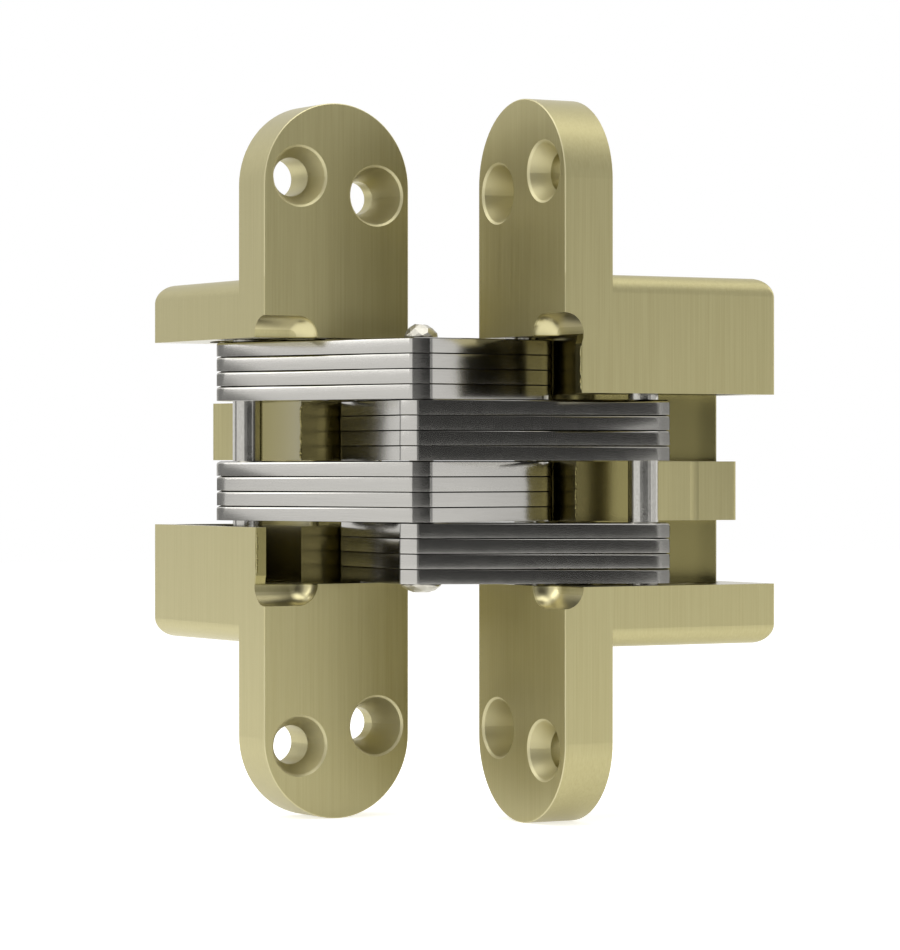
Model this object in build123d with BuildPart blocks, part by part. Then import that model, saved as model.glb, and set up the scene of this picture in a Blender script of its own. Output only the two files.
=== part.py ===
from build123d import *
import os
from math import atan2, cos, degrees, radians, sin, tan

# Concealed door hinge, shown half open with its two leaves at a right angle.
# Two equal die-cast leaves carry a crossed pair of links. Each link is a stack
# of steel laminations: its short arm turns on a pin fixed in one leaf, and the
# pin in its long arm runs in a groove of the other leaf. One rivet joins both.
# All sizes are millimetres. In a leaf's own frame, "across" runs from the outer
# edge to the inner edge, "deep" runs from the face into the mortise, and the
# height is measured from mid-length. The door leaf is the frame leaf turned
# half a turn, so one set of values makes both.

# Leaf casting
leaf_length = 117.5
leaf_width = 27.0
plate_thick = 9.1
body_depth = 40.8
body_half_height = 30.0
body_edge_r = 3.0
body_corner_r = 0.6
plate_chamfer = 0.15

# Screw holes: a steep cast sink with a soft lip, then a through bore
screw_sink_r = 4.75
screw_lip = 0.35
outer_screw_from_edge = 6.6
outer_screw_from_end = 12.15
outer_bore_r = 3.2
outer_sink_depth = 3.0
inner_screw_from_edge = 6.1
inner_screw_from_end = 14.95
inner_bore_r = 2.75
inner_sink_depth = 6.1

# Links
lamination = 2.48
plies = 4
layer_gap = 0.06
slot_gap = 0.10
wall_step = 0.90
stack_gap = 0.24
link_half_width = 4.3
long_arm = 36.55
short_arm = 20.87
bend = 108.95
long_end = 4.0
long_end_r = 2.2
knuckle_facet = 3.1
wall_gap = 0.35

# Pins and rivet
fixed_pin_r = 2.0
slider_pin_r = 2.5
rivet_r = 2.0
run_gap = 0.05
press_gap = 0.02
relief_gap = 0.25
groove_gap = 0.25
end_gap = 0.3
pin_chamfer = 0.4
fixed_pin_seat = 4.8
groove_depth = 3.0
rivet_top_r = 2.9
rivet_top_height = 2.25
rivet_top_flat_r = 1.2
rivet_foot_r = 3.45
rivet_foot_height = 1.4
rivet_foot_flat_r = 2.1
rivet_rim = 0.5

# Places in the leaf frame, some of them set off from the fixed pin's axis
fixed_from_edge = 4.4
fixed_deep = 6.5
rest_lean = 3.9
side_wall = 2.0
side_wall_front = 3.2
channel_off_pin = 10.7
channel_lean = 0.9
channel_hollow = 1.8
channel_end = 37.0
pocket_floor = 9.5
rib_corner_r = 0.6
spine_off_pin = 5.3
spine_hollow = 2.2
spine_corner_r = 4.0
scoop_r = 3.5
scoop_end = 9.9

# Motion: the leaves turn this many degrees for each degree of the short arm
leaf_per_arm = 1.55
rest_opening = 90
full_opening = 180


# The fixed pin sits near the leaf's inner edge
fixed_across = leaf_width - fixed_from_edge


def lean(opening):
    """Lean of the short arm from the face normal, towards the outer edge."""
    return rest_lean - (opening - rest_opening) / leaf_per_arm


def centre(opening):
    """Rivet axis in the leaf frame, across and deep."""
    turn = radians(lean(opening))
    return Vector(fixed_across - short_arm * sin(turn), fixed_deep - short_arm * cos(turn))


def long_angle(opening):
    """Direction of the long arm in the leaf frame, in degrees from across."""
    return lean(opening) + (opening - rest_opening) + bend


def reach(start, angle, distance, aside=0.0):
    """Point at a distance along a direction, and aside from it to the left."""
    turn = radians(angle)
    return start + Vector(
        distance * cos(turn) - aside * sin(turn), distance * sin(turn) + aside * cos(turn)
    )


def slider(opening):
    """Axis of the slider pin in the leaf frame, across and deep."""
    return reach(centre(opening), long_angle(opening), long_arm)


def beside_path(opening, turned, distance):
    """Point off the slider pin's path, turned from its direction of travel."""
    travel = slider(opening + 1) - slider(opening - 1)
    return slider(opening) + travel.normalized().rotate(Axis.Z, turned) * distance


def depth_at(point, angle, across):
    """Depth of a slanted edge, through a point, at a place across the leaf."""
    return point.Y + (across - point.X) * tan(radians(angle))


# Heights, from mid-length
layer = lamination * plies + layer_gap
stack_half = 2 * layer
pocket_half = stack_half + stack_gap
groove_half = pocket_half + groove_depth
fixed_pin_half = pocket_half + fixed_pin_seat

# Places of the joints at rest, and the corner where the two face planes meet
fixed_point = Vector(fixed_across, fixed_deep)
rest_centre = centre(rest_opening)
rest_slider = slider(rest_opening)
meeting = rest_centre.X - rest_centre.Y
arm_out = long_angle(rest_opening)
arm_in = arm_out - bend
other_fixed = reach(rest_centre, arm_in, short_arm)

# Frames of the two leaves: x is across, y is deep
across_start = -outer_screw_from_edge
deep_start = -plate_thick
frame_place = Plane(origin=(across_start, deep_start, 0), x_dir=(1, 0, 0), z_dir=(0, 0, 1))
door_place = Plane(
    origin=(across_start + meeting, deep_start - meeting, 0), x_dir=(0, 1, 0), z_dir=(0, 0, -1)
)

# Link outline: straight-sided arms, with the outside of the bend cut flat
half_turn = radians(90 - bend / 2)
facet_start = knuckle_facet / (2 * cos(half_turn)) - link_half_width * tan(half_turn)
inner_start = link_half_width / tan(radians(bend / 2))
link_outline = [
    reach(rest_centre, arm_out, long_arm + long_end, -link_half_width),
    reach(rest_centre, arm_out, inner_start, -link_half_width),
    reach(other_fixed, arm_in, 0, link_half_width),
    reach(other_fixed, arm_in, 0, -link_half_width),
    reach(rest_centre, arm_in, facet_start, -link_half_width),
    reach(rest_centre, arm_out, facet_start, link_half_width),
    reach(rest_centre, arm_out, long_arm + long_end, link_half_width),
]
# The long arm is hollowed where it comes round the fixed pin at full opening
relief_angle = arm_out - (2 * lean(full_opening) + full_opening - rest_opening + bend - 90)
relief_sweep = 25.0
relief_arc = CenterArc(rest_centre, short_arm, relief_angle, -relief_sweep)

# Pocket walls: the back edges of both arms at full opening, with a wall gap
clear_half = link_half_width + wall_gap
beyond = 2.0
past_inner = leaf_width + beyond
past_back = body_depth + beyond
channel_wall = fixed_across - channel_off_pin
spine_wall = fixed_across - spine_off_pin
long_back = reach(slider(full_opening), long_angle(full_opening), 0, -clear_half)
long_slant = long_angle(full_opening)
short_slant = -90 - lean(full_opening)
short_back = reach(fixed_point, short_slant, 0, clear_half)
spine_corner = Vector(spine_wall, depth_at(long_back, long_slant, spine_wall))
spine_back = Vector(spine_wall, body_depth)
spine_middle = (spine_corner + spine_back) / 2 + Vector(spine_hollow, 0)
long_slot = [
    spine_corner,
    (past_inner, depth_at(long_back, long_slant, past_inner)),
    (past_inner, -beyond),
    (-beyond, -beyond),
    (-beyond, past_back),
    (spine_wall, past_back),
    spine_back,
]
channel_front = Vector(channel_wall, pocket_floor)
channel_back = Vector(channel_wall - channel_lean, body_depth)
channel_middle = (channel_front + channel_back) / 2 + Vector(channel_hollow, 0)
channel = [
    channel_front,
    (channel_wall, -beyond),
    (-beyond, -beyond),
    (-beyond, past_back),
    (channel_back.X, past_back),
    channel_back,
]
short_pocket = [
    (side_wall, -beyond),
    (side_wall, pocket_floor),
    channel_front,
    (fixed_across, fixed_deep + clear_half),
    (short_back.X, short_back.Y),
    (past_inner, depth_at(short_back, short_slant, past_inner)),
    (past_inner, -beyond),
]
long_slots = ((layer - slot_gap, pocket_half), (-layer - wall_step, slot_gap))

# Groove round the path of the slider pin: a curved run, then a short straight
# one where the path turns too tightly for a curve at the groove's half width
path_turn = 135
path_steps = 6
groove_r = slider_pin_r + groove_gap
path_openings = [path_turn * step / path_steps for step in range(path_steps + 1)]
groove_left = [beside_path(opening, 90, groove_r) for opening in path_openings]
groove_right = [beside_path(opening, -90, groove_r) for opening in path_openings]
groove_closed_end = beside_path(0, 180, groove_r)
groove_turn_end = beside_path(path_turn, 0, groove_r)
last_run = slider(full_opening) - slider(path_turn)
last_run_middle = (slider(full_opening) + slider(path_turn)) / 2
last_run_angle = degrees(atan2(last_run.Y, last_run.X))

# Screw holes: across, up from mid-length, bore radius and depth of the sink
outer_screw_height = leaf_length / 2 - outer_screw_from_end
inner_screw_height = leaf_length / 2 - inner_screw_from_end
inner_screw_across = leaf_width - inner_screw_from_edge
screw_holes = (
    (outer_screw_from_edge, outer_screw_height, outer_bore_r, outer_sink_depth),
    (inner_screw_across, inner_screw_height, inner_bore_r, inner_sink_depth),
)

os.makedirs("parts", exist_ok=True)

for side, link, place in (("frame", "a", frame_place), ("door", "b", door_place)):
    up = Axis(place.origin, place.z_dir)
    inward = Axis(place.origin, place.y_dir)
    face_centre = place.from_local_coords(Vector(leaf_width / 2, 0, 0))
    face_plane = Plane(origin=face_centre, x_dir=place.x_dir, z_dir=-place.y_dir)

    # Mortise body, rounded on every edge that goes into the wood
    plate_middle = plate_thick / 2
    with BuildPart() as body:
        with BuildSketch(place.offset(-body_half_height)):
            with Locations((leaf_width / 2, (plate_middle + body_depth) / 2)):
                Rectangle(leaf_width, body_depth - plate_middle)
        extrude(amount=2 * body_half_height)
        fillet(body.edges().filter_by(up).sort_by(inward)[-2:], radius=body_corner_r)
        end_edges = body.faces().filter_by(up).edges()
        hidden_edges = end_edges.sort_by(inward)[:2]
        fillet([edge for edge in end_edges if edge not in hidden_edges], radius=body_edge_r)

    # Leaf: the round-ended face plate with the body behind it
    with BuildPart() as leaf:
        with BuildSketch(face_plane):
            SlotOverall(leaf_length, leaf_width, rotation=90)
        extrude(amount=-plate_thick)
        chamfer(leaf.faces().filter_by(inward).edges(), length=plate_chamfer)
        add(body.part)

        # Pocket for the short arm
        with BuildSketch(place.offset(-pocket_half)):
            with BuildLine():
                Polyline(*short_pocket, close=True)
            make_face()
            with Locations(fixed_point):
                Circle(clear_half)
            with Locations((0, side_wall_front / 2 - beyond / 2)):
                Rectangle(2 * side_wall, side_wall_front + beyond)
        extrude(amount=2 * pocket_half, mode=Mode.SUBTRACT)

        # Walled channel for the slider pin, with one side a hollow arc
        with BuildSketch(place.offset(-pocket_half)):
            with BuildLine():
                Polyline(*channel)
                ThreePointArc(channel_back, channel_middle, channel_front)
            make_face()
            with Locations((side_wall + leaf_width / 2, channel_end / 2)):
                Rectangle(leaf_width, channel_end, mode=Mode.INTERSECT)
        extrude(amount=2 * pocket_half, mode=Mode.SUBTRACT)

        # The middle short-arm layer has no side wall, so the pin shows there
        with BuildSketch(place):
            with BuildLine():
                Polyline(*channel)
                ThreePointArc(channel_back, channel_middle, channel_front)
            make_face()
        extrude(amount=layer, mode=Mode.SUBTRACT)

        # Slots for the long arm, open at the outer side and at the back
        for slot_low, slot_high in long_slots:
            with BuildSketch(place.offset(slot_low)) as slot:
                with BuildLine():
                    Polyline(*long_slot)
                    ThreePointArc(spine_back, spine_middle, spine_corner)
                make_face()
                fillet(slot.vertices().sort_by_distance(spine_corner)[0], spine_corner_r)
            extrude(amount=slot_high - slot_low, mode=Mode.SUBTRACT)
        rib_corner = place.from_local_coords(Vector(channel_back.X, body_depth, layer / 2))
        fillet(leaf.edges().filter_by(up).sort_by_distance(rib_corner)[0], radius=rib_corner_r)

        # Grooves that guide the ends of the slider pin
        with BuildSketch(place.offset(-groove_half)):
            with BuildLine():
                Spline(*groove_left)
                ThreePointArc(groove_left[-1], groove_turn_end, groove_right[-1])
                Spline(*groove_right)
                ThreePointArc(groove_left[0], groove_closed_end, groove_right[0])
            make_face()
            with Locations(last_run_middle):
                SlotCenterToCenter(last_run.length, 2 * groove_r, rotation=last_run_angle)
        extrude(amount=2 * groove_half, mode=Mode.SUBTRACT)

        # Blind bore of the fixed pin
        with BuildSketch(place.offset(-fixed_pin_half - end_gap)):
            with Locations(fixed_point):
                Circle(fixed_pin_r + press_gap)
        extrude(amount=2 * (fixed_pin_half + end_gap), mode=Mode.SUBTRACT)

        # Round-ended scoops that let the rivet's ends into the closed leaf
        scoop_run = scoop_end - scoop_r + beyond
        for end in (-pocket_half, pocket_half):
            scoop_plane = Plane(
                origin=place.from_local_coords(Vector(-beyond, 0, end)),
                x_dir=place.z_dir,
                z_dir=place.x_dir,
            )
            with BuildSketch(scoop_plane):
                Circle(scoop_r)
            extrude(amount=scoop_run, mode=Mode.SUBTRACT)
            with Locations(place.from_local_coords(Vector(scoop_end - scoop_r, 0, end))):
                Sphere(scoop_r, mode=Mode.SUBTRACT)

        # Screw holes, each cut by turning its half section round its axis
        for across, height, bore_r, sink_depth in screw_holes:
            hole_section = [
                (0, beyond),
                (screw_sink_r + screw_lip, beyond),
                (screw_sink_r + screw_lip, 0),
                (screw_sink_r, -screw_lip),
                (bore_r, -screw_lip - sink_depth),
                (bore_r, -plate_thick - beyond),
                (0, -plate_thick - beyond),
            ]
            for end in (-height, height):
                mouth = Plane(
                    origin=place.from_local_coords(Vector(across, 0, end)),
                    x_dir=place.x_dir,
                    z_dir=-place.z_dir,
                )
                with BuildSketch(mouth):
                    with BuildLine():
                        Polyline(*hole_section, close=True)
                    make_face()
                revolve(axis=Axis(mouth.origin, place.y_dir), mode=Mode.SUBTRACT)
    leaf.part.label = f"{side}_leaf"
    export_step(leaf.part, f"parts/{side}_leaf.step")

    # Fixed pin, pressed into the leaf's blocks at both ends
    with BuildPart() as fixed_pin:
        with BuildSketch(place.offset(-fixed_pin_half)):
            with Locations(fixed_point):
                Circle(fixed_pin_r)
        extrude(amount=2 * fixed_pin_half)
        chamfer(fixed_pin.edges().filter_by(GeomType.CIRCLE), length=pin_chamfer)
    fixed_pin.part.label = f"{side}_pivot_pin"
    export_step(fixed_pin.part, f"parts/{side}_pivot_pin.step")

    # Slider pin, carried by the long arm that lies in this leaf
    with BuildPart() as slider_pin:
        with BuildSketch(place.offset(end_gap - groove_half)):
            with Locations(rest_slider):
                Circle(slider_pin_r)
        extrude(amount=2 * (groove_half - end_gap))
        chamfer(slider_pin.edges().filter_by(GeomType.CIRCLE), length=pin_chamfer)
    slider_pin.part.label = f"link_{link}_slider_pin"
    export_step(slider_pin.part, f"parts/link_{link}_slider_pin.step")

    # Laminations of the link, in the two layers where its long arm has a slot
    bottoms = [
        low + layer_gap / 2 + ply * lamination for low in (layer, -layer) for ply in range(plies)
    ]
    for number, bottom in enumerate(bottoms, start=1):
        with BuildPart() as blade:
            with BuildSketch(place.offset(bottom)) as outline:
                with BuildLine():
                    Polyline(*link_outline, close=True)
                make_face()
                tips = outline.vertices().sort_by_distance(reach(rest_slider, arm_out, long_end))
                fillet(tips[:2], radius=long_end_r)
                with Locations(other_fixed):
                    Circle(link_half_width)
                with Locations(rest_centre):
                    Circle(rivet_r + run_gap, mode=Mode.SUBTRACT)
                with Locations(rest_slider):
                    Circle(slider_pin_r + run_gap, mode=Mode.SUBTRACT)
                with Locations(other_fixed):
                    Circle(fixed_pin_r + run_gap, mode=Mode.SUBTRACT)
                SlotArc(relief_arc, 2 * (fixed_pin_r + relief_gap), mode=Mode.SUBTRACT)
            extrude(amount=lamination)
        blade.part.label = f"link_{link}_blade_{number}"
        export_step(blade.part, f"parts/link_{link}_blade_{number}.step")

# Rivet through the crossing of the links: a domed top and a wide peened foot
rivet_plane = Plane(
    origin=frame_place.from_local_coords(rest_centre), x_dir=(1, 0, 0), z_dir=(0, -1, 0)
)
foot = -stack_half - rivet_foot_height
top = stack_half + rivet_top_height
with BuildPart() as rivet:
    with BuildSketch(rivet_plane):
        with BuildLine():
            Polyline(
                (0, top),
                (0, foot),
                (rivet_foot_flat_r, foot),
                (rivet_foot_r, rivet_rim - stack_half - rivet_foot_height),
                (rivet_foot_r, -stack_half),
                (rivet_r, -stack_half),
                (rivet_r, stack_half),
                (rivet_top_r, stack_half),
                (rivet_top_r, stack_half + rivet_rim),
            )
            RadiusArc(
                (rivet_top_r, stack_half + rivet_rim), (rivet_top_flat_r, top), -rivet_top_r
            )
            Line((rivet_top_flat_r, top), (0, top))
        make_face()
    revolve(axis=Axis(rivet_plane.origin, (0, 0, 1)))
rivet.part.label = "centre_rivet"
export_step(rivet.part, "parts/centre_rivet.step")
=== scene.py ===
# %% [markdown]
# # A concealed door hinge in satin brass and steel
# The hinge stands half open, its two cast leaves at a right angle with a pack of
# sheet-steel links crossing between them. The structure comes in as a fixed
# frame, in metres, and this lesson gives it finishes, the small marks of its
# making, soft light and a camera.

# %% Load the hinge
import math
import random

import bmesh
import bpy
from mathutils import Matrix, Vector


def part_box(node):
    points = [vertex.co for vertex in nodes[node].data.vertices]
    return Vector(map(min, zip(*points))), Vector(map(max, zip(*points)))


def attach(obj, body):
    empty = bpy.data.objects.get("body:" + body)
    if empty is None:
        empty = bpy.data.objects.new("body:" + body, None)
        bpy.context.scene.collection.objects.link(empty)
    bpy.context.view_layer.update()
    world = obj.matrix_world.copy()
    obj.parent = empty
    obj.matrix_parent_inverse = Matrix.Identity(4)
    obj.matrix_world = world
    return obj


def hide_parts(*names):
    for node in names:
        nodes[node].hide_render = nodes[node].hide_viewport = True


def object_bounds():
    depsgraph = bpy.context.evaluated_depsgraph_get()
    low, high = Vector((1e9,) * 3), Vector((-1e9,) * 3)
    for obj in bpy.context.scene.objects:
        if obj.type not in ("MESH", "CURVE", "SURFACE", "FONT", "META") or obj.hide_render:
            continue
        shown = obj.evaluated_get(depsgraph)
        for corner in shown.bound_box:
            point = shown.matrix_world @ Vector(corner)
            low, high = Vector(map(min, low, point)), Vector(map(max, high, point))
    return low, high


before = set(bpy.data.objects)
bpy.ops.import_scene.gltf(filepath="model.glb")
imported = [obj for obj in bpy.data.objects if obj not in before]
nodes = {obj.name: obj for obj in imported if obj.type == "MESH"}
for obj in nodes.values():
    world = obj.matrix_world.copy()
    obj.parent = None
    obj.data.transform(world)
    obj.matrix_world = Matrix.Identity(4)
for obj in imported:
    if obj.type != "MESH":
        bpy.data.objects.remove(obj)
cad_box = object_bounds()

MM = 0.001

# %% [markdown]
# ## Camera
# A long lens, level with the middle of the hinge, sees both leaves at about
# equal slant. The lens is long because verticals stay nearly parallel in a
# product picture, and a small vertical shift frames the hinge without tilting.

# %% Place the camera
CAMERA_AT = Vector((-304.8, -578.6, 0.0)) * MM
CAMERA_AZIMUTH = math.radians(-30.33)
camera_data = bpy.data.cameras.new("product_camera")
camera_data.sensor_width = 36.0
camera_data.lens = 149.65
camera_data.shift_y = -0.01496
camera_data.clip_start = 0.01
camera = bpy.data.objects.new("product_camera", camera_data)
camera.location = CAMERA_AT
camera.rotation_euler = (math.radians(90), 0, CAMERA_AZIMUTH)
bpy.context.scene.collection.objects.link(camera)
bpy.context.scene.camera = camera
print("camera distance in mm", round(CAMERA_AT.length / MM, 1))

# %% [markdown]
# ## Helpers
# Colours are chosen as sRGB hex values, as in a paint program, but shaders
# work in linear light, so one function converts them. Another adds a node with
# its settings and links in one call, which keeps each material readable. The
# others hold patterns that several materials share: noise with a real size,
# layers of colour, and tests that all have to hold.

# %% Colour, node and pattern helpers
def linear(hex_colour):
    """An sRGB hex colour as linear red, green, blue and alpha."""
    channels = [int(hex_colour[i : i + 2], 16) / 255 for i in (1, 3, 5)]
    return [c / 12.92 if c <= 0.04045 else ((c + 0.055) / 1.055) ** 2.4 for c in channels] + [1.0]


def add_node(tree, kind, settings=None, links=None):
    """Add a node, set its properties or input values, and link its inputs."""
    node = tree.nodes.new(kind)
    for name, value in (settings or {}).items():
        if isinstance(name, str) and hasattr(node, name):
            setattr(node, name, value)
        else:
            node.inputs[name].default_value = value
    for name, socket in (links or {}).items():
        tree.links.new(socket, node.inputs[name])
    return node


def new_material(name):
    """An empty node material with its output node."""
    material = bpy.data.materials.new(name)
    material.use_nodes = True
    material.node_tree.nodes.clear()
    return material, material.node_tree, add_node(material.node_tree, "ShaderNodeOutputMaterial")


def sized_noise(tree, sizes_mm, detail=3.0, roughness=0.55):
    """Noise whose patches have a real size along X, Y and Z, in Object coordinates."""
    place = add_node(tree, "ShaderNodeTexCoord")
    sized = add_node(
        tree,
        "ShaderNodeMapping",
        {"Scale": [1 / (size * MM) for size in sizes_mm]},
        {"Vector": place.outputs["Object"]},
    )
    return add_node(
        tree,
        "ShaderNodeTexNoise",
        {"Scale": 1.0, "Detail": detail, "Roughness": roughness},
        {"Vector": sized.outputs["Vector"]},
    ).outputs["Fac"]


def layered_colour(tree, base, layers):
    """A base colour with others laid over it in turn, each by its own factor."""
    below = base
    for factor, over in layers:
        mix = add_node(tree, "ShaderNodeMix", {"data_type": "RGBA"}, {0: factor})
        for socket, value in ((6, below), (7, over)):
            if isinstance(value, str):
                mix.inputs[socket].default_value = linear(value)
            else:
                tree.links.new(value, mix.inputs[socket])
        below = mix.outputs[2]
    return below


def all_hold(tree, tests):
    """1 where every comparison holds, 0 elsewhere; a test is (value, operation, limit)."""
    product = None
    for value, operation, limit in tests:
        test = add_node(
            tree, "ShaderNodeMath", {"operation": operation, 1: limit}, {0: value}
        ).outputs[0]
        if product is None:
            product = test
        else:
            product = add_node(
                tree, "ShaderNodeMath", {"operation": "MULTIPLY"}, {0: product, 1: test}
            ).outputs[0]
    return product


def within_box(tree, spot, lowest, highest):
    """1 inside a box given in metres, 0 outside it."""
    tests = []
    for axis in range(3):
        tests.append((spot.outputs[axis], "GREATER_THAN", lowest[axis]))
        tests.append((spot.outputs[axis], "LESS_THAN", highest[axis]))
    return all_hold(tree, tests)


print("plating colour in linear light", [round(c, 3) for c in linear("#BEB88F")])

# %% [markdown]
# ## Satin brass plating, brushed upright
# The leaves are zinc die castings with a brass plating. Their flat faces were
# brushed along the length, so they carry fine upright streaks and a soft, wide
# sheen. The brush never reached the screw sinks and the rivet's scoops, which
# keep a brighter plating, or the pockets, which stay smooth; the pockets, all but
# the rib at their back, are painted a darker brown as painted shade for their
# recesses. Noise drawn out along Z makes the streaks; a sink or a scoop is told
# from a brushed flat by how its surface is turned, and a pocket by its place.

# %% Brushed plating
BRUSH_STREAK_MM = (0.28, 0.28, 22.0)
PLATING_CLOUD_MM = (14.0, 14.0, 14.0)
RECESS_SLOPES = (0.12, 0.93)  # how much of a recess's normal points out of the face
SCOOPS_FROM_MM = 20.3
SINKS_FROM_MM = 30.0
POCKET_HALF_MM = 20.35
POCKET_MARGIN_MM = 0.2
AGED_SHARE = 0.35
BRUSHED_ROUGHNESS = (0.30, 0.46)
RECESS_ROUGHNESS = (0.3, 0.52)  # in a scoop, in a sink
POCKET_ROUGHNESS = 0.22
RIB_REACH_MM = 10.0
BRUSH_RELIEF = 0.35
BRUSH_DEPTH_MM = 0.012

# For each leaf: the axis that its face looks along, where its plate ends on that
# axis, where the rib between the slots starts, and whether it lies above the middle.
LEAF_PLACES_MM = {
    "frame_leaf": (1, 0.1, 20.0, True),
    "door_leaf": (0, 38.1, 54.0, False),
}


def brushed_plating(name, face_axis, plate_back, pockets, rib):
    """Satin brass plating on a leaf whose face looks along one axis."""
    material, tree, output = new_material(name)
    streaks = sized_noise(tree, BRUSH_STREAK_MM, roughness=0.6)
    clouds = sized_noise(tree, PLATING_CLOUD_MM)
    place = add_node(tree, "ShaderNodeTexCoord")
    turned = add_node(tree, "ShaderNodeSeparateXYZ", links={0: place.outputs["Normal"]})
    spot = add_node(tree, "ShaderNodeSeparateXYZ", links={0: place.outputs["Object"]})
    slope, height = (
        add_node(tree, "ShaderNodeMath", {"operation": "ABSOLUTE"}, {0: value}).outputs[0]
        for value in (turned.outputs[face_axis], spot.outputs[2])
    )
    recess = all_hold(
        tree,
        (
            (slope, "GREATER_THAN", RECESS_SLOPES[0]),
            (slope, "LESS_THAN", RECESS_SLOPES[1]),
            (height, "GREATER_THAN", SCOOPS_FROM_MM * MM),
            (spot.outputs[face_axis], "LESS_THAN", plate_back),
        ),
    )
    sink = all_hold(tree, ((height, "GREATER_THAN", SINKS_FROM_MM * MM),))
    # The rib at the back of the pockets is left out of their painted shade.
    off_rib = add_node(
        tree,
        "ShaderNodeMath",
        {"operation": "SUBTRACT", 0: 1.0},
        {1: within_box(tree, spot, *rib)},
    ).outputs[0]
    inside = add_node(
        tree,
        "ShaderNodeMath",
        {"operation": "MULTIPLY"},
        {0: within_box(tree, spot, *pockets), 1: off_rib},
    ).outputs[0]
    aged = add_node(tree, "ShaderNodeMapRange", {"To Max": AGED_SHARE}, {"Value": clouds})
    colour = layered_colour(
        tree,
        "#9F976C",
        (
            (streaks, "#BAB38A"),
            (aged.outputs["Result"], "#A89F74"),
            (recess, layered_colour(tree, "#BDB58C", ((sink, "#C6BF99"),))),
            # painted shade: the pockets are painted a darker brown for the shade in their recesses
            (inside, "#8D8558"),
        ),
    )
    brushed_rough, recess_rough = (
        add_node(
            tree, "ShaderNodeMapRange", {"To Min": low, "To Max": high}, {"Value": factor}
        ).outputs["Result"]
        for factor, (low, high) in ((streaks, BRUSHED_ROUGHNESS), (sink, RECESS_ROUGHNESS))
    )
    outer_rough = add_node(
        tree,
        "ShaderNodeMix",
        {"data_type": "FLOAT"},
        {0: recess, 2: brushed_rough, 3: recess_rough},
    ).outputs[0]
    rough = add_node(
        tree,
        "ShaderNodeMix",
        {"data_type": "FLOAT", 3: POCKET_ROUGHNESS},
        {0: inside, 2: outer_rough},
    ).outputs[0]
    relief = add_node(
        tree,
        "ShaderNodeMath",
        {"operation": "MULTIPLY_ADD", 1: -BRUSH_RELIEF, 2: BRUSH_RELIEF},
        {0: recess},
    ).outputs[0]
    bump = add_node(
        tree,
        "ShaderNodeBump",
        {"Distance": BRUSH_DEPTH_MM * MM},
        {"Strength": relief, "Height": streaks},
    )
    shader = add_node(
        tree,
        "ShaderNodeBsdfPrincipled",
        {"Metallic": 1.0},
        {"Base Color": colour, "Roughness": rough, "Normal": bump.outputs["Normal"]},
    )
    tree.links.new(shader.outputs[0], output.inputs["Surface"])
    return material


def inner_space(leaf):
    """The box of the pockets inside a leaf, a margin in from its outer faces."""
    lowest, highest = (list(corner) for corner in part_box(leaf))
    for axis in (0, 1):
        lowest[axis] += POCKET_MARGIN_MM * MM
        highest[axis] -= POCKET_MARGIN_MM * MM
    lowest[2], highest[2] = -POCKET_HALF_MM * MM, POCKET_HALF_MM * MM
    return lowest, highest


def rib_space(leaf, deep_axis, from_mm, above):
    """The box round the rib between the two long-arm slots, at the back of a leaf."""
    lowest, highest = (list(corner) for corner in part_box(leaf))
    lowest[deep_axis] = from_mm * MM
    lowest[2], highest[2] = sorted((0.0, (1 if above else -1) * RIB_REACH_MM * MM))
    return lowest, highest


leaf_finishes = {}
for leaf, (face_axis, plate_back_mm, rib_from_mm, rib_above) in LEAF_PLACES_MM.items():
    leaf_finishes[leaf] = brushed_plating(
        "satin_brass_plating_" + leaf.removesuffix("_leaf"),
        face_axis,
        plate_back_mm * MM,
        inner_space(leaf),
        rib_space(leaf, face_axis, rib_from_mm, rib_above),
    )
print("finishes", [m.name for m in leaf_finishes.values()])

# %% [markdown]
# ## Three steels
# The link plates are stamped from cold-rolled sheet and their edges are ground
# along the arm, so the streaks run level, and the gaps between them are painted
# dark, partly as grease and partly as painted shade in the crevices. The pins are
# centreless ground, with a clean narrow gleam. The rivet is
# mild steel whose ends were hammered over, so it is duller and mottled.

# %% Link, pin and rivet steel
GAP_GREASE_AND_SHADE = "#1E1C18"


def steel(name, colours, roughness, grain, clouds, relief, greasy_and_shaded=False):
    """Bare steel with grain and clouds of real sizes, painted darker in the gaps as grease and as
    painted shade.
    """
    material, tree, output = new_material(name)
    dark, light = colours
    cloud_mm, cloud_share = clouds
    strength, depth_mm = relief
    streaks = sized_noise(tree, *grain)
    patches = sized_noise(tree, [cloud_mm] * 3)
    clouded = add_node(tree, "ShaderNodeMapRange", {"To Max": cloud_share}, {"Value": patches})
    layers = [(streaks, light), (clouded.outputs["Result"], dark)]
    if greasy_and_shaded:
        gap = add_node(tree, "ShaderNodeAttribute", {"attribute_name": "gap"})
        # painted shade: the gap attribute darkens the rolled edges and burrs, standing for the
        # shade in the crevices between plates as well as for grease
        layers.append((gap.outputs["Fac"], GAP_GREASE_AND_SHADE))
    rough = add_node(
        tree,
        "ShaderNodeMapRange",
        {"To Min": roughness[0], "To Max": roughness[1]},
        {"Value": patches},
    )
    bump = add_node(
        tree,
        "ShaderNodeBump",
        {"Strength": strength, "Distance": depth_mm * MM},
        {"Height": streaks},
    )
    shader = add_node(
        tree,
        "ShaderNodeBsdfPrincipled",
        {"Metallic": 1.0},
        {
            "Base Color": layered_colour(tree, dark, layers),
            "Roughness": rough.outputs["Result"],
            "Normal": bump.outputs["Normal"],
        },
    )
    tree.links.new(shader.outputs[0], output.inputs["Surface"])
    return material


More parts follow.
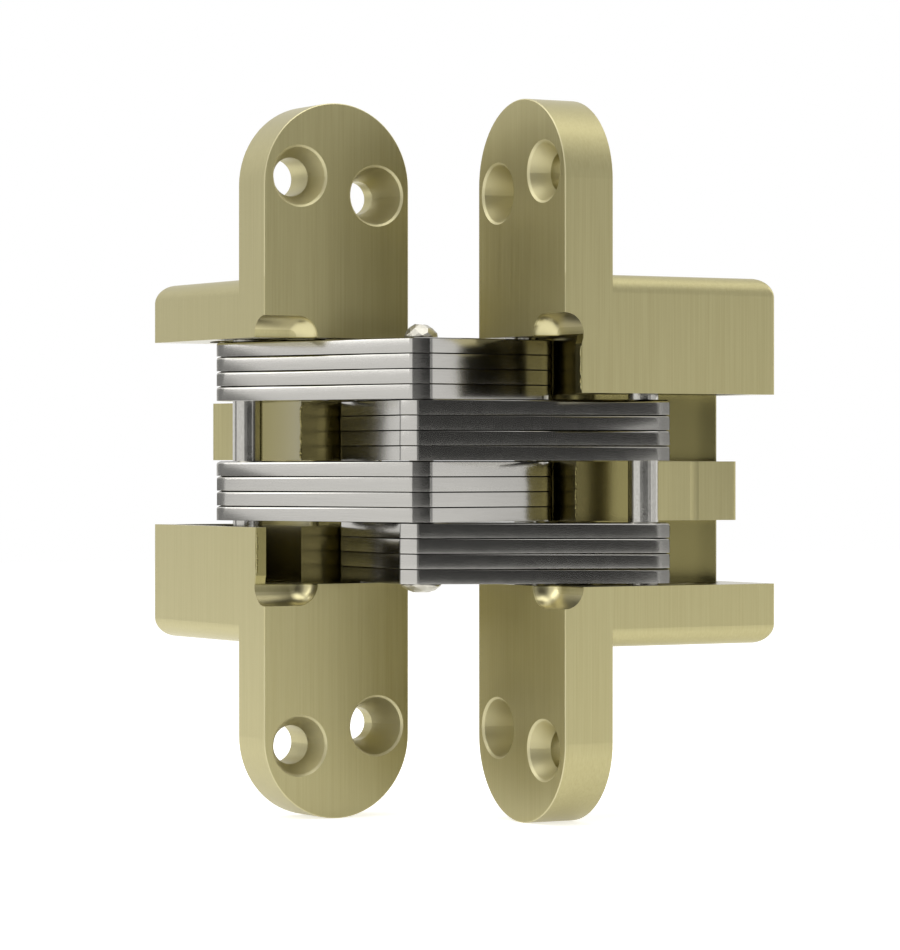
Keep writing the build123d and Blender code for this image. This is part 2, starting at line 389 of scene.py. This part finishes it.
link_steel = steel(
    "ground_sheet_steel",
    colours=("#B8B6B0", "#C6C4BF"),
    roughness=(0.13, 0.18),
    grain=((6.0, 6.0, 0.16), 4.0, 0.65),
    clouds=(2.2, 0.3),
    relief=(0.2, 0.003),
    greasy_and_shaded=True,
)
pin_steel = steel(
    "ground_pin_steel",
    colours=("#A9A7A1", "#D2D0CA"),
    roughness=(0.1, 0.2),
    grain=((0.35, 0.35, 0.6), 3.0, 0.6),
    clouds=(3.0, 0.4),
    relief=(0.4, 0.012),
)
rivet_steel = steel(
    "peened_rivet_steel",
    colours=("#A8A59A", "#C9C6BC"),
    roughness=(0.25, 0.45),
    grain=((0.6, 0.6, 0.6), 3.0, 0.55),
    clouds=(3.0, 0.4),
    relief=(0.4, 0.06),
)
for name, node in nodes.items():
    if name in leaf_finishes:
        finish = leaf_finishes[name]
    elif "blade" in name:
        finish = link_steel
    elif name == "centre_rivet":
        finish = rivet_steel
    else:
        finish = pin_steel
    node.data.materials.clear()
    node.data.materials.append(finish)
print("finished nodes", len(nodes))

# %% [markdown]
# ## The laminated links
# Each link is a pack of plates stamped from sheet steel. Stamping rolls a
# plate's upper edge over a little, most of all at its corners, and cuts its end
# at a slant that differs from plate to plate. Thin dark gaps show between them.
# One plate is made from the outline of its CAD solid, with attributes that say
# where a stack may slant it and where its edges are painted dark, as grease and
# as painted shade. Geometry Nodes then stack
# eight, which keeps them equal and lets one seed make each a little different.

# %% Sizes of a plate's edges
PLATE_GAP_MM = 0.16
EDGE_ROLL_MM = 0.03
CORNER_ROLL_MM = 0.34
BURR_MM = 0.02
# painted shade and grease on the burr under a plate's straight edges
BURR_GREASE_AND_SHADE = 0.5
GAP_DEPTH_MM = 0.3
KNUCKLE_ROUND_MM = 0.6
KNUCKLE_STEPS = 5
SHARP_TURN = math.radians(12)
LEAST_MITRE = 0.3  # keeps the inset of a very sharp corner short
END_CORNERS_MM = ((2.9, 0.0), (0.35, 0.62), (0.0, 1.7))  # back from the tip, in from the side
END_POINTS = 2 * len(END_CORNERS_MM)
LINK_PINS = {"link_a": "link_a_slider_pin", "link_b": "link_b_slider_pin"}

# Rings of the rolled edge: inset and drop below the top, as shares of the roll,
# then how dark the ring is painted, as grease and as painted shade, on a straight edge and at a
# corner.
ROLL_RINGS = (
    (0.0, 1.3, 0.0, 0.0),
    (0.12, 0.7, 0.6, 0.0),
    (0.45, 0.22, 1.0, 0.0),
    (1.0, 0.0, 1.0, 0.6),
)


def box_middle(name):
    """Middle of a node's box at rest, seen along the pins."""
    box_low, box_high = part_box(name)
    return ((Vector(box_low) + Vector(box_high)) / 2).to_2d()


rivet_axis = box_middle("centre_rivet")
for link, pin in LINK_PINS.items():
    print(link, "long arm in mm", round((box_middle(pin) - rivet_axis).length / MM, 2))


# %% Read and reshape the outline of a plate
def flat_loops(name):
    """Boundary loops of a node's lowest flat face, as points about the rivet."""
    shape = bmesh.new()
    shape.from_mesh(nodes[name].data)
    bmesh.ops.remove_doubles(shape, verts=shape.verts, dist=0.001 * MM)
    bottom = {face for face in shape.faces if face.normal.z < -0.99}
    rim = [edge for edge in shape.edges if sum(face in bottom for face in edge.link_faces) == 1]
    following = {}
    for edge in rim:
        loop = next(loop for loop in edge.link_loops if loop.face in bottom)
        following[loop.vert] = loop.link_loop_next.vert
    loops = []
    while following:
        here = next(iter(following))
        points = []
        while here in following:
            points.append(here.co.to_2d() - rivet_axis)
            here = following.pop(here)
        loops.append(points)
    shape.free()
    return sorted(loops, key=lambda points: -max(point.length for point in points))


def soften(points, reach):
    """Round the corners between long straight runs, as a worn stamping die does."""
    rounded = []
    for k, corner in enumerate(points):
        before = corner - points[k - 1]
        after = points[(k + 1) % len(points)] - corner
        if min(before.length, after.length) < 2 * reach or before.angle(after) < SHARP_TURN:
            rounded.append(corner)
            continue
        start, end = corner - before.normalized() * reach, corner + after.normalized() * reach
        for step in range(KNUCKLE_STEPS + 1):
            t = step / KNUCKLE_STEPS
            rounded.append(start * (1 - t) ** 2 + corner * 2 * t * (1 - t) + end * t ** 2)
    return rounded


def cut_end(points, arm):
    """Replace the rounded end of the long arm by two slanting shear cuts."""
    out = arm.normalized()
    side = Vector((-out.y, out.x))
    tip = max(point.dot(out) for point in points)
    half = max(abs(point.dot(side)) for point in points if point.dot(out) > arm.length)
    start = tip - END_CORNERS_MM[0][0] * MM
    kept = [point.dot(out) < start for point in points]
    first = next(k for k in range(len(points)) if kept[k] and not kept[k - 1])
    ordered = [points[(first + k) % len(points)] for k in range(len(points))]
    ordered = [point for point in ordered if point.dot(out) < start]
    hand = 1 if ordered[-1].dot(side) > 0 else -1
    corners = [(tip - back * MM, half - inward * MM) for back, inward in END_CORNERS_MM]
    corners += [(along, -aside) for along, aside in reversed(corners)]
    return ordered + [out * along + side * hand * aside for along, aside in corners], out


loops = flat_loops("link_a_blade_1")
print("loops in a plate", len(loops), "points in its outline", len(loops[0]))


# %% Make one plate
def outward(points, k):
    """Direction out of the material at a corner, long enough to keep an even inset."""
    before = (points[k] - points[k - 1]).normalized()
    after = (points[(k + 1) % len(points)] - points[k]).normalized()
    normal = Vector((-before.y - after.y, before.x + after.x))
    return normal / max(LEAST_MITRE, normal.length_squared / 2) if normal.length else normal


def side_rings(roll, full, corner):
    """Inset and height in metres, and the painted darkness for grease and shade, of each ring up a
    plate's side.
    """
    burr = BURR_MM * MM
    top = full - PLATE_GAP_MM * MM
    rings = [(burr, 0, 0 if corner else BURR_GREASE_AND_SHADE), (0, burr, 0)]
    for inset, drop, edge_grease_and_shade, corner_grease_and_shade in ROLL_RINGS:
        rings.append((inset * roll, top - drop * roll, corner_grease_and_shade if corner else edge_grease_and_shade))
    return rings + [(roll + GAP_DEPTH_MM * MM, full, 0)]


def make_plate(link):
    """One plate about the rivet's axis, with its base at zero height."""
    arm = box_middle(LINK_PINS[link]) - rivet_axis
    outline, *holes = flat_loops(f"{link}_blade_1")
    outline, out = cut_end(soften(outline, KNUCKLE_ROUND_MM * MM), arm)
    box_low, box_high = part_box(f"{link}_blade_1")
    full = box_high[2] - box_low[2]
    top = full - PLATE_GAP_MM * MM
    edge_rings = side_rings(EDGE_ROLL_MM * MM, full, corner=False)
    corner_rings = side_rings(CORNER_ROLL_MM * MM, full, corner=True)
    shape = bmesh.new()
    slide = shape.verts.layers.float_vector.new("slide")
    gap = shape.verts.layers.float.new("gap")
    bottom_rings, core_rings = [], []
    for points in (outline, *holes):
        count = len(points)
        rings = []
        for edge_ring, corner_ring in zip(edge_rings, corner_rings):
            ring = []
            for k, point in enumerate(points):
                corner = points is outline and k >= count - END_POINTS
                inset, height, grease_and_shade = corner_ring if corner else edge_ring
                place = point + outward(points, k) * -inset
                vertex = shape.verts.new((place.x, place.y, height))
                # how dark this ring is painted, as painted shade and grease
                vertex[gap] = grease_and_shade
                if corner and k in (count - END_POINTS, count - 1):
                    vertex[slide] = (out * (1 - height / top)).to_3d()
                ring.append(vertex)
            rings.append(ring)
        for lower, upper in zip(rings, rings[1:]):
            for k in range(count):
                shape.faces.new((lower[k - 1], lower[k], upper[k], upper[k - 1]))
        bottom_rings.append(rings[0])
        core_rings.append(rings[-1])
    for rim in (bottom_rings, core_rings):
        edges = [shape.edges.get((ring[k - 1], ring[k])) for ring in rim for k in range(len(ring))]
        bmesh.ops.triangle_fill(shape, use_beauty=True, edges=edges)
    bmesh.ops.recalc_face_normals(shape, faces=shape.faces)
    mesh = bpy.data.meshes.new(f"{link}_plate")
    shape.to_mesh(mesh)
    shape.free()
    return mesh


print("faces of one plate", len(make_plate("link_a").polygons))


# %% Start, end and run a Geometry Nodes group
def start_group(name, inputs, result):
    """A Geometry Nodes group with named inputs and one geometry output."""
    tree = bpy.data.node_groups.new(name, "GeometryNodeTree")
    sockets = {}
    for label, kind in inputs:
        socket = tree.interface.new_socket(
            label, in_out="INPUT", socket_type="NodeSocket" + kind
        )
        sockets[label] = socket.identifier
    tree.interface.new_socket(result, in_out="OUTPUT", socket_type="NodeSocketGeometry")
    return tree, sockets, add_node(tree, "NodeGroupInput").outputs


def end_group(tree, geometry, material):
    """Give the geometry its material and send it out of the group."""
    painted = add_node(
        tree, "GeometryNodeSetMaterial", links={"Geometry": geometry, "Material": material}
    )
    add_node(tree, "NodeGroupOutput", links={0: painted.outputs[0]})


def keep_result(piece, tree, sockets, values):
    """Run a group on an object and keep its result as a plain mesh."""
    modifier = piece.modifiers.new("nodes", "NODES")
    modifier.node_group = tree
    for name, value in values.items():
        modifier[sockets[name]] = value
    bpy.context.view_layer.update()
    evaluated = piece.evaluated_get(bpy.context.evaluated_depsgraph_get())
    result = bpy.data.meshes.new_from_object(evaluated)
    piece.modifiers.remove(modifier)
    piece.data = result


print("helpers for Geometry Nodes ready")


# %% Stack the plates with Geometry Nodes
PLATES_IN_LAYER = 4
PLATE_TURN = 0.0022
PLATE_SLIP_MM = 0.05
END_SLANT_MM = 1.3
FIRST_PLATE_SEED = 3
SMOOTH_BELOW = math.radians(25)


def plate_stack_group():
    """Eight plates in two layers, each slipped, turned and slanted a little."""
    tree, sockets, given = start_group(
        "plate_stack",
        (
            ("Plate", "Geometry"),
            ("Plates in a layer", "Int"),
            ("Pitch", "Float"),
            ("Start", "Vector"),
            ("Layer rise", "Vector"),
            ("Slip", "Float"),
            ("Slant", "Float"),
            ("Seed", "Int"),
            ("Steel", "Material"),
        ),
        "Stack",
    )
    rise = add_node(tree, "ShaderNodeCombineXYZ", links={"Z": given["Pitch"]})
    layer = add_node(
        tree,
        "GeometryNodeMeshLine",
        links={"Count": given["Plates in a layer"], "Offset": rise.outputs[0]},
    )
    upper = add_node(
        tree,
        "GeometryNodeTransform",
        links={"Geometry": layer.outputs[0], "Translation": given["Layer rise"]},
    )
    levels = add_node(tree, "GeometryNodeJoinGeometry", links={"Geometry": layer.outputs[0]})
    tree.links.new(upper.outputs[0], levels.inputs["Geometry"])
    stacked = add_node(
        tree,
        "GeometryNodeInstanceOnPoints",
        links={"Points": levels.outputs[0], "Instance": given["Plate"]},
    )
    back = add_node(
        tree, "ShaderNodeMath", {"operation": "MULTIPLY", 1: -1.0}, {0: given["Slip"]}
    )
    slipped_by = add_node(
        tree,
        "FunctionNodeRandomValue",
        links={2: back.outputs[0], 3: given["Slip"], "Seed": given["Seed"]},
    ).outputs[1]
    slip = add_node(tree, "ShaderNodeCombineXYZ", links={"X": slipped_by, "Y": slipped_by})
    slipped = add_node(
        tree,
        "GeometryNodeTranslateInstances",
        links={"Instances": stacked.outputs[0], "Translation": slip.outputs[0]},
    )
    turned_by = add_node(
        tree, "FunctionNodeRandomValue", {2: -PLATE_TURN, 3: PLATE_TURN}, {"Seed": given["Seed"]}
    ).outputs[1]
    turn = add_node(tree, "ShaderNodeCombineXYZ", links={"Z": turned_by})
    turned = add_node(
        tree,
        "GeometryNodeRotateInstances",
        links={"Instances": slipped.outputs[0], "Rotation": turn.outputs[0]},
    )
    chance = add_node(
        tree, "FunctionNodeRandomValue", {2: 0.0, 3: 1.0}, {"Seed": given["Seed"]}
    )
    seldom = add_node(
        tree, "ShaderNodeMath", {"operation": "POWER", 1: 2.0}, {0: chance.outputs[1]}
    )
    amount = add_node(
        tree,
        "ShaderNodeMath",
        {"operation": "MULTIPLY"},
        {0: seldom.outputs[0], 1: given["Slant"]},
    )
    marked = add_node(
        tree,
        "GeometryNodeStoreNamedAttribute",
        {"domain": "INSTANCE", "data_type": "FLOAT", "Name": "plate_slant"},
        {"Geometry": turned.outputs[0], "Value": amount.outputs[0]},
    )
    real = add_node(tree, "GeometryNodeRealizeInstances", links={"Geometry": marked.outputs[0]})
    slide, slant = (
        add_node(tree, "GeometryNodeInputNamedAttribute", {"data_type": kind, "Name": name})
        for kind, name in (("FLOAT_VECTOR", "slide"), ("FLOAT", "plate_slant"))
    )
    offset = add_node(
        tree,
        "ShaderNodeVectorMath",
        {"operation": "SCALE"},
        {0: slide.outputs["Attribute"], "Scale": slant.outputs["Attribute"]},
    )
    leaning = add_node(
        tree,
        "GeometryNodeSetPosition",
        links={"Geometry": real.outputs[0], "Offset": offset.outputs[0]},
    )
    placed = add_node(
        tree,
        "GeometryNodeTransform",
        links={"Geometry": leaning.outputs[0], "Translation": given["Start"]},
    )
    end_group(tree, placed.outputs[0], given["Steel"])
    return tree, sockets


stack_tree, stack_sockets = plate_stack_group()
for number, link in enumerate(LINK_PINS):
    blades = [f"{link}_blade_{k}" for k in range(1, 2 * PLATES_IN_LAYER + 1)]
    lows = sorted(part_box(blade)[0][2] for blade in blades)
    pitch = lows[1] - lows[0]
    pack = bpy.data.objects.new(f"{link}_plates", make_plate(link))
    bpy.context.scene.collection.objects.link(pack)
    keep_result(
        pack,
        stack_tree,
        stack_sockets,
        {
            "Plates in a layer": PLATES_IN_LAYER,
            "Pitch": pitch,
            "Start": (rivet_axis.x, rivet_axis.y, lows[0]),
            "Layer rise": (0.0, 0.0, lows[PLATES_IN_LAYER] - lows[0]),
            "Slip": PLATE_SLIP_MM * MM,
            "Slant": END_SLANT_MM * MM,
            "Seed": FIRST_PLATE_SEED + number,
            "Steel": link_steel,
        },
    )
    pack.data.shade_smooth()
    pack.data.set_sharp_from_angle(angle=SMOOTH_BELOW)
    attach(pack, link)
    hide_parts(*blades)
    print(pack.name, "faces", len(pack.data.polygons), "pitch in mm", round(pitch / MM, 3))

# %% [markdown]
# ## The peened centre rivet
# The rivet's soft ends were hammered over by hand blows. Each blow leaves a
# small flat, so the head is a dome of uneven facets with a spread, ragged foot.
# The rings of a plain dome get seeded jitter and keep their flat shading.

# %% Rivet with hammered heads
SHAFT_MM = 2.0
HEADS_MM = ((-1, 3.45, 1.4), (1, 2.9, 2.25))  # which end, radius, height
HEAD_RINGS = ((0.93, 0.0), (1.0, 0.1), (0.93, 0.34), (0.7, 0.7), (0.38, 0.94))
HEAD_FACETS = 11
HEAD_SEED = 12
BLOW_TURN = 0.1
BLOW_REACH = (0.93, 1.04)
BLOW_LIFT = 0.05


def hammered_rivet(name):
    """A shaft with a faceted dome at each end, each of the real head's radius and height."""
    chance = random.Random(HEAD_SEED)
    ends = (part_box(name)[0][2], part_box(name)[1][2])
    rings = []
    for (sign, radius, rise), end in zip(HEADS_MM, ends):
        foot = end - sign * rise * MM
        head = [[(SHAFT_MM * MM, math.tau * k / HEAD_FACETS, foot) for k in range(HEAD_FACETS)]]
        for level, (share, height) in enumerate(HEAD_RINGS):
            ring = []
            for k in range(HEAD_FACETS):
                angle = math.tau * (k + 0.5 * (level % 2)) / HEAD_FACETS
                angle += chance.uniform(-BLOW_TURN, BLOW_TURN)
                reach = radius * share * MM * chance.uniform(*BLOW_REACH)
                lift = 0 if level == 0 else chance.uniform(-BLOW_LIFT, BLOW_LIFT)
                ring.append((reach, angle, foot + sign * rise * (height + lift) * MM))
            head.append(ring)
        rings += head if sign > 0 else head[::-1]
    shape = bmesh.new()
    loops = []
    for ring in rings:
        loops.append([])
        for reach, angle, z in ring:
            x = rivet_axis.x + reach * math.cos(angle)
            y = rivet_axis.y + reach * math.sin(angle)
            loops[-1].append(shape.verts.new((x, y, z)))
    for lower, upper in zip(loops, loops[1:]):
        for k in range(HEAD_FACETS):
            shape.faces.new((lower[k - 1], lower[k], upper[k], upper[k - 1]))
    shape.faces.new(loops[0])
    shape.faces.new(loops[-1])
    bmesh.ops.triangulate(shape, faces=shape.faces)
    bmesh.ops.recalc_face_normals(shape, faces=shape.faces)
    mesh = bpy.data.meshes.new("peened_rivet")
    shape.to_mesh(mesh)
    shape.free()
    return mesh


rivet = bpy.data.objects.new("peened_rivet", hammered_rivet("centre_rivet"))
bpy.context.scene.collection.objects.link(rivet)
rivet.data.materials.append(rivet_steel)
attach(rivet, "link_b")
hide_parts("centre_rivet")
print("rivet faces", len(rivet.data.polygons))

# %% [markdown]
# ## Casting flash in the pockets
# Where the die's cores met, the zinc crept into the seam and froze as a thin
# ragged lip. The plating covered it, so it glints along some upright edges of
# the pockets. Geometry Nodes set small lumps of seeded size along each edge.

# %% Flash lips with Geometry Nodes
LUMP_MM = 0.24
LUMP_STRETCH = 2.2
SMALLEST_LUMP = 0.35
LUMP_SLIP_MM = 0.09
LUMP_STEP_MM = 0.22
FIRST_LIP_SEED = 40
FLASH_EDGES_MM = (  # body, leaf, place of the edge, its lowest and highest point
    ("frame_side", "frame_leaf", (5.3, 0.42), (0.8, 9.2)),
    ("frame_side", "frame_leaf", (-6.32, -5.9), (-18.2, -11.6)),
    ("door_side", "door_leaf", (38.42, -32.7), (-9.2, -0.8)),
    ("door_side", "door_leaf", (32.1, -44.34), (11.6, 18.2)),
)


def flash_group():
    """Lumps set along an upright line, each with its own size and slip."""
    tree, sockets, given = start_group(
        "flash_lip",
        (
            ("Lump", "Geometry"),
            ("Start", "Vector"),
            ("Rise", "Vector"),
            ("Count", "Int"),
            ("Lump size", "Float"),
            ("Slip", "Float"),
            ("Seed", "Int"),
            ("Plating", "Material"),
        ),
        "Lip",
    )
    line = add_node(
        tree,
        "GeometryNodeMeshLine",
        links={"Count": given["Count"], "Start Location": given["Start"], "Offset": given["Rise"]},
    )
    back = add_node(
        tree, "ShaderNodeMath", {"operation": "MULTIPLY", 1: -1.0}, {0: given["Slip"]}
    )
    least, most = (
        add_node(tree, "ShaderNodeCombineXYZ", links={axis: value for axis in "XYZ"})
        for value in (back.outputs[0], given["Slip"])
    )
    slip = add_node(
        tree,
        "FunctionNodeRandomValue",
        {"data_type": "FLOAT_VECTOR"},
        {0: least.outputs[0], 1: most.outputs[0], "Seed": given["Seed"]},
    )
    ragged = add_node(
        tree,
        "GeometryNodeSetPosition",
        links={"Geometry": line.outputs[0], "Offset": slip.outputs[0]},
    )
    share = add_node(
        tree, "FunctionNodeRandomValue", {2: SMALLEST_LUMP, 3: 1.0}, {"Seed": given["Seed"]}
    )
    size = add_node(
        tree,
        "ShaderNodeMath",
        {"operation": "MULTIPLY"},
        {0: share.outputs[1], 1: given["Lump size"]},
    )
    lumps = add_node(
        tree,
        "GeometryNodeInstanceOnPoints",
        links={"Points": ragged.outputs[0], "Instance": given["Lump"], "Scale": size.outputs[0]},
    )
    real = add_node(tree, "GeometryNodeRealizeInstances", links={"Geometry": lumps.outputs[0]})
    end_group(tree, real.outputs[0], given["Plating"])
    return tree, sockets


lip_tree, lip_sockets = flash_group()
for number, (body, leaf, (x, y), (z_low, z_high)) in enumerate(FLASH_EDGES_MM):
    lump = bmesh.new()
    stretch = Matrix.Diagonal((1, 1, LUMP_STRETCH, 1))
    bmesh.ops.create_icosphere(lump, subdivisions=1, radius=1.0, matrix=stretch)
    lump_mesh = bpy.data.meshes.new("flash_lump")
    lump.to_mesh(lump_mesh)
    lump.free()
    lip = bpy.data.objects.new(f"{leaf}_flash_{number}", lump_mesh)
    bpy.context.scene.collection.objects.link(lip)
    count = round((z_high - z_low) / LUMP_STEP_MM)
    keep_result(
        lip,
        lip_tree,
        lip_sockets,
        {
            "Start": (x * MM, y * MM, z_low * MM),
            "Rise": (0.0, 0.0, (z_high - z_low) / count * MM),
            "Count": count,
            "Lump size": LUMP_MM * MM,
            "Slip": LUMP_SLIP_MM * MM,
            "Seed": FIRST_LIP_SEED + number,
            "Plating": leaf_finishes[leaf],
        },
    )
    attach(lip, body)
    print(lip.name, "lumps", count)

# %% [markdown]
# ## Floor, backdrop and light
# Satin metal shows what stands around it. The hinge stands on a pale floor in a
# white surround, which bare metal reflects as an even bright tone. A wide dark
# card and four grey ones, seen only in reflections, give the steel the deeper
# tones that a room gives. Large soft lamps add a gentle direction.

# %% Floor and surround
FLOOR_HALF = 1.5
FLOOR_GLOW = 0.62
SKY_LIGHT = 0.45
WHITE = (1, 1, 1, 1)
floor_z = cad_box[0][2]
floor_mesh = bpy.data.meshes.new("studio_floor")
floor_corners = [
    (side * FLOOR_HALF, end * FLOOR_HALF, floor_z)
    for side, end in ((-1, -1), (1, -1), (1, 1), (-1, 1))
]
floor_mesh.from_pydata(floor_corners, [], [(0, 1, 2, 3)])
floor = bpy.data.objects.new("studio_floor", floor_mesh)
bpy.context.scene.collection.objects.link(floor)


def seen_directly(tree):
    """1 for rays from the camera or through gloss and glass, 0 for diffuse light."""
    path = add_node(tree, "ShaderNodeLightPath")
    first = add_node(
        tree,
        "ShaderNodeMath",
        {"operation": "MAXIMUM"},
        {0: path.outputs["Is Camera Ray"], 1: path.outputs["Is Glossy Ray"]},
    )
    return add_node(
        tree,
        "ShaderNodeMath",
        {"operation": "MAXIMUM"},
        {0: first.outputs[0], 1: path.outputs["Is Transmission Ray"]},
    ).outputs[0]


floor_paint, tree, output = new_material("pale_floor")
paint = add_node(tree, "ShaderNodeBsdfDiffuse", {"Color": linear("#F2F2F0")})
floor_light = add_node(
    tree, "ShaderNodeMapRange", {"To Max": FLOOR_GLOW}, {"Value": seen_directly(tree)}
)
glow = add_node(
    tree, "ShaderNodeEmission", {"Color": WHITE}, {"Strength": floor_light.outputs["Result"]}
)
both = add_node(tree, "ShaderNodeAddShader", links={0: paint.outputs[0], 1: glow.outputs[0]})
tree.links.new(both.outputs[0], output.inputs["Surface"])
floor.data.materials.append(floor_paint)

world = bpy.data.worlds.new("white_surround")
world.use_nodes = True
bpy.context.scene.world = world
tree = world.node_tree
tree.nodes.clear()
surround = add_node(tree, "ShaderNodeOutputWorld")
sky_light = add_node(
    tree, "ShaderNodeMapRange", {"To Min": SKY_LIGHT}, {"Value": seen_directly(tree)}
)
sky = add_node(
    tree, "ShaderNodeBackground", {"Color": WHITE}, {"Strength": sky_light.outputs["Result"]}
)
tree.links.new(sky.outputs[0], surround.inputs["Surface"])
print("floor height in mm", round(floor_z / MM, 2))

# %% Lamps and cards
HINGE_MIDDLE_MM = Vector((20, -19, 0))
LAMPS_MM = (  # name, place, side of the square, watts
    ("left_softbox", (-560, 200, 420), 600, 2.5),
    ("right_softbox", (700, -200, 300), 600, 1.6),
    ("top_softbox", (60, -120, 760), 700, 2.4),
)
CARD_RISE_MM = 150
CARDS_MM = (  # name, width, height, distance, bearing in degrees, shade
    ("dark_card", 1230, 2400, 1100, -111.5, "#444444"),
    ("left_grey_card", 400, 2400, 1050, -133, "#7E7E7E"),
    ("side_grey_card", 400, 2400, 1100, -70, "#A6A6A6"),
    ("right_grey_card", 500, 900, 700, -32, "#EAEAEA"),
    ("back_grey_card", 200, 900, 700, 138, "#8C8C8C"),
)


def soft_lamp(name, place_mm, side_mm, watts):
    """A square area lamp aimed at the hinge."""
    data = bpy.data.lights.new(name, "AREA")
    data.shape = "SQUARE"
    data.size = side_mm * MM
    data.energy = watts
    lamp = bpy.data.objects.new(name, data)
    lamp.location = Vector(place_mm) * MM
    away = Vector(place_mm) - HINGE_MIDDLE_MM
    lamp.rotation_euler = away.to_track_quat("Z", "Y").to_euler()
    bpy.context.scene.collection.objects.link(lamp)


def card(name, width_mm, height_mm, distance_mm, bearing, shade):
    """An upright card that only reflections see, at a bearing from the origin."""
    turn = math.radians(bearing)
    out = Vector((math.cos(turn), math.sin(turn), 0))
    side = Vector((-out.y, out.x, 0))
    corners = []
    for across, up in ((-0.5, -0.5), (0.5, -0.5), (0.5, 0.5), (-0.5, 0.5)):
        rise = Vector((0, 0, up * height_mm + CARD_RISE_MM))
        corners.append((out * distance_mm + side * across * width_mm + rise) * MM)
    mesh = bpy.data.meshes.new(name)
    mesh.from_pydata(corners, [], [(0, 1, 2, 3)])
    piece = bpy.data.objects.new(name, mesh)
    bpy.context.scene.collection.objects.link(piece)
    paint, card_tree, card_output = new_material(name + "_paint")
    face = add_node(card_tree, "ShaderNodeEmission", {"Color": linear(shade), "Strength": 1.0})
    card_tree.links.new(face.outputs[0], card_output.inputs["Surface"])
    mesh.materials.append(paint)
    piece.visible_camera = False
    piece.visible_shadow = False
    piece.visible_diffuse = False


for lamp_row in LAMPS_MM:
    soft_lamp(*lamp_row)
for card_row in CARDS_MM:
    card(*card_row)
bpy.context.scene.view_settings.view_transform = "Standard"
print("lamps", len(LAMPS_MM), "cards", len(CARDS_MM))
